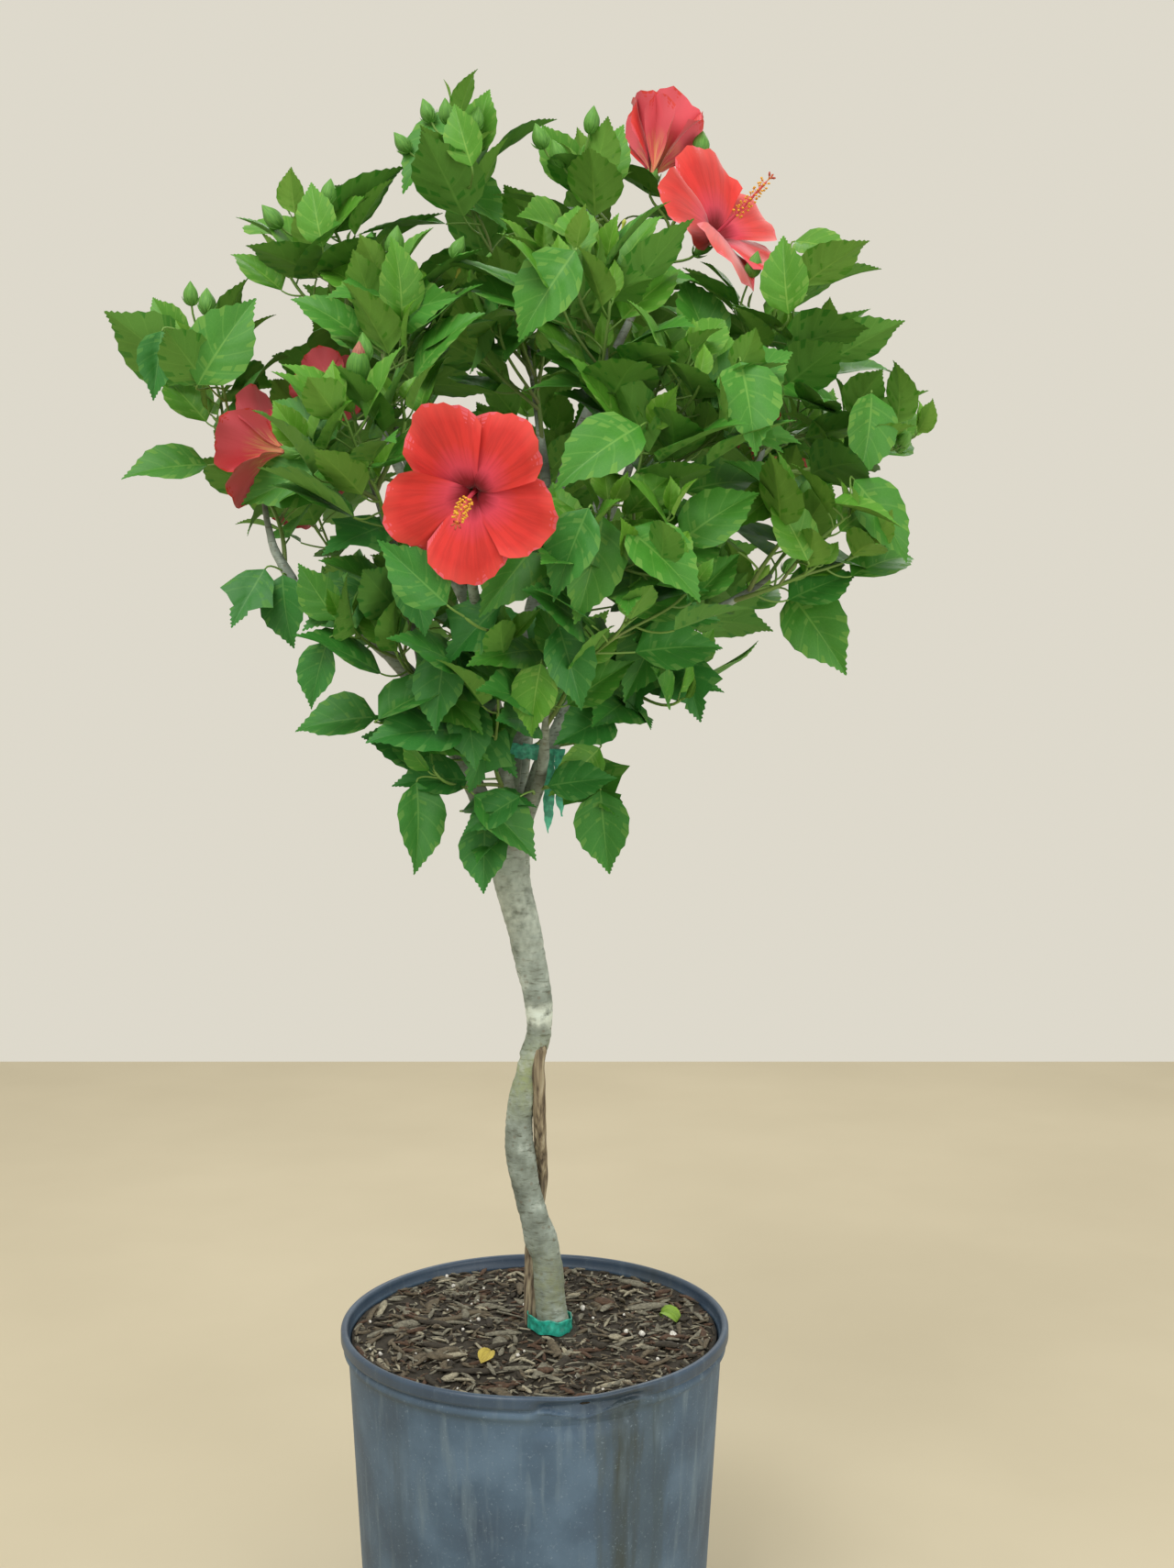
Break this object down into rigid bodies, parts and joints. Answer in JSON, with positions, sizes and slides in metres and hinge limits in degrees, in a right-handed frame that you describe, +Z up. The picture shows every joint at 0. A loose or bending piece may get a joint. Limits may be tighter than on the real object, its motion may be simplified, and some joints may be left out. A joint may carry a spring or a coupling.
{
  "type": "potted hibiscus standard",
  "caption": "Hibiscus shrub grown as a standard on one winding trunk, with a round head of leaves and red blooms, standing in a tapered nursery pot.",
  "frame": {"origin": "centre of the pot's flat underside, at floor level", "axes": "+Z up along the plant's height, front towards -Y, +X to the right seen from the front"},
  "size_m": [0.7488, 0.6297, 1.4203],
  "materials": {
    "pot_plastic": "faded moulded nursery plastic",
    "mulch": "bark mulch over growing mix",
    "bark": "grey-green wrinkled bark",
    "dead_wood": "bare dead wood",
    "tie_tape": "soft stretch tape",
    "leaf": "glossy green leaf",
    "petal": "velvety red petal",
    "stamen": "pollen-yellow anthers on a pale column"
  },
  "bodies": {
    "root": {"base_tie": "tie_tape", "bough_back": "bark", "bough_back_left": "bark", "bough_back_right": "bark", "bough_front": "bark", "bough_front_left": "bark", "bough_leader": "bark", "bough_left": "bark", "bough_left_front": "bark", "bough_left_middle": "bark", "bough_left_outer": "bark", "bough_low_front": "bark", "bough_right": "bark", "bough_right_low": "bark", "bough_top": "bark", "crown_tie": "tie_tape", "dead_stem": "dead_wood", "mass_back": "leaf", "mass_back_left": "leaf", "mass_back_right": "leaf", "mass_foot_left": "leaf", "mass_foot_right": "leaf", "mass_front_bloom": "petal", "mass_front_right": "leaf", "mass_left_front": "leaf", "mass_left_leaf": "leaf", "mass_left_low": "leaf", "mass_left_low_back": "leaf", "mass_left_low_front": "leaf", "mass_left_middle": "leaf", "mass_left_tip": "leaf", "mass_low_back": "leaf", "mass_low_front": "leaf", "mass_low_left": "leaf", "mass_low_left_leaf": "leaf", "mass_low_right": "leaf", "mass_right_droop": "leaf", "mass_right_front": "leaf", "mass_right_low": "leaf", "mass_right_low_back": "leaf", "mass_right_tip": "leaf", "mass_top_back": "leaf", "mass_top_blooms": "petal", "mass_top_left": "leaf", "mass_top_middle": "leaf", "mass_upper_back_left": "leaf", "mass_upper_back_right": "leaf", "mass_upper_front": "leaf", "mass_upper_front_left": "leaf", "mass_upper_left": "leaf", "mass_upper_middle": "leaf", "mass_upper_right": "leaf", "pot": "pot_plastic", "soil": "mulch", "trunk": "bark"}
  },
  "joints": []
}
